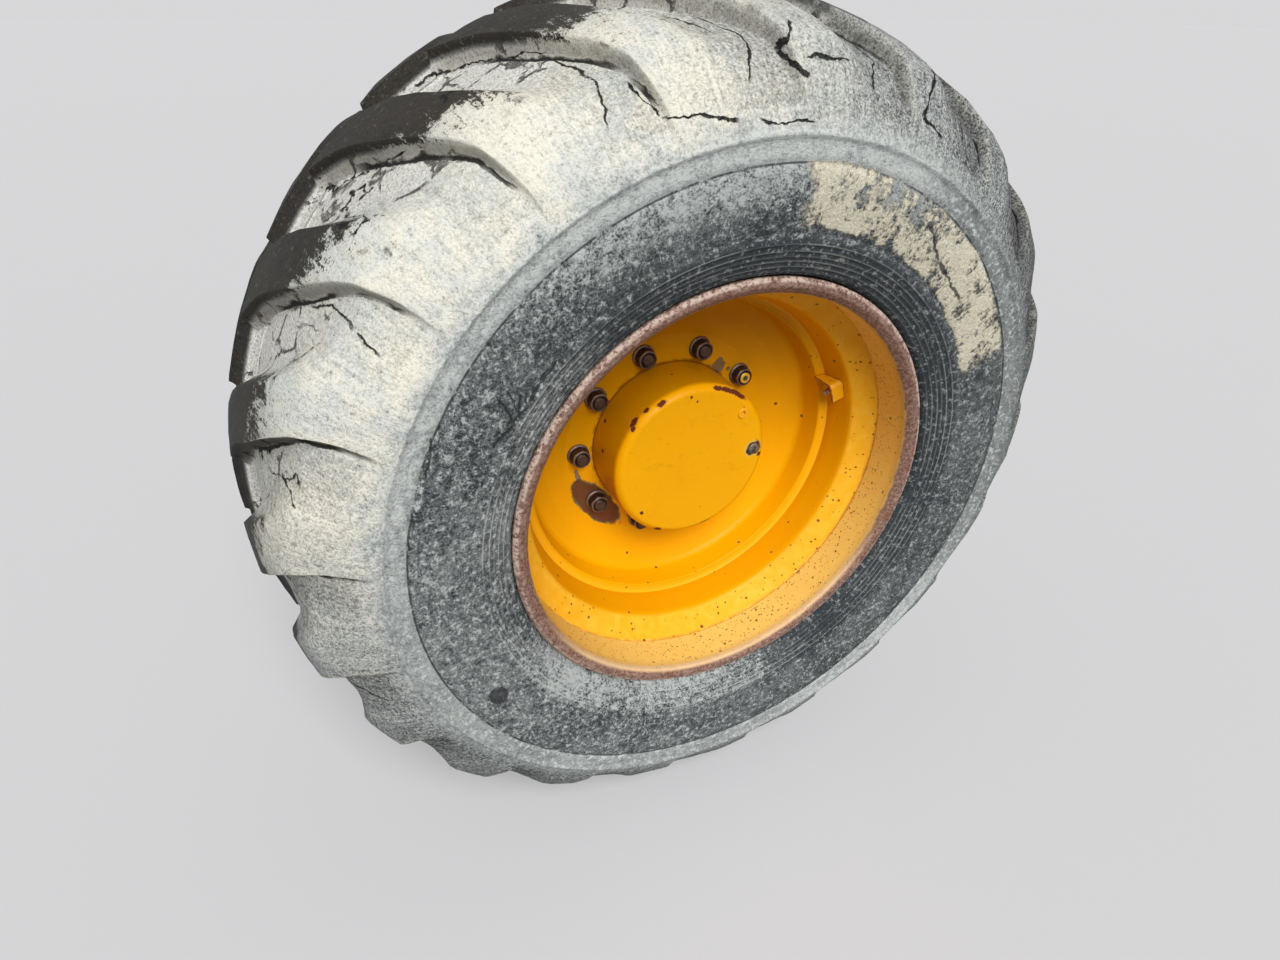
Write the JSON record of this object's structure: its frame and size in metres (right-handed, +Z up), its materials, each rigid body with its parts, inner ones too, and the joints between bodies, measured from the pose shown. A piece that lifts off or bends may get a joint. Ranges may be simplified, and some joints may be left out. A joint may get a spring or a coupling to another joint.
{
  "type": "dump truck wheel on its axle end",
  "caption": "Wide lugged tyre on a dished steel wheel with hub cover, nuts and valve, turning on the spindle of an axle end with its half shaft.",
  "frame": {"origin": "centre of the axle arm's inner flange face, on the axle line", "axes": "+Y along the axle towards the vehicle, +X along travel, +Z up"},
  "size_m": [1.35, 0.823, 1.348],
  "materials": {
    "arm_paint": "chipped dark grey paint under dried mud",
    "machined_steel": "turned steel",
    "dark_steel": "rust-brown fasteners",
    "tyre_rubber": "worn rubber with dried pale mud",
    "wheel_paint": "orange-yellow paint with rust chips",
    "hub_iron": "cast iron, oily",
    "seal_rubber": "black seal rubber"
  },
  "bodies": {
    "axle_end": {"axle_arm": "arm_paint", "spindle": "machined_steel", "spindle_bolts": "dark_steel", "spindle_nut": "machined_steel"},
    "wheel": {"tyre": "tyre_rubber", "rim": "wheel_paint", "wheel_disc": "wheel_paint", "hub": "hub_iron", "hub_seal": "seal_rubber", "hub_cover": "wheel_paint", "cover_plugs": "machined_steel", "wheel_studs": "dark_steel", "nut_washers": "dark_steel", "wheel_nuts": "dark_steel", "valve_stem": "machined_steel", "valve_guard": "wheel_paint"},
    "drive": {"half_shaft": "machined_steel"}
  },
  "joints": [
    {"name": "wheel_spin", "type": "hinge", "parent": "axle_end", "child": "wheel", "pos_m": [0, -0.5, 0], "axis": [0, 1, 0], "continuous": true},
    {"name": "shaft_spin", "type": "hinge", "parent": "axle_end", "child": "drive", "pos_m": [0, -0.1, 0], "axis": [0, 1, 0], "continuous": true}
  ],
  "couplings": [
    {"joint": "shaft_spin", "follows": "wheel_spin", "ratio": 6}
  ]
}
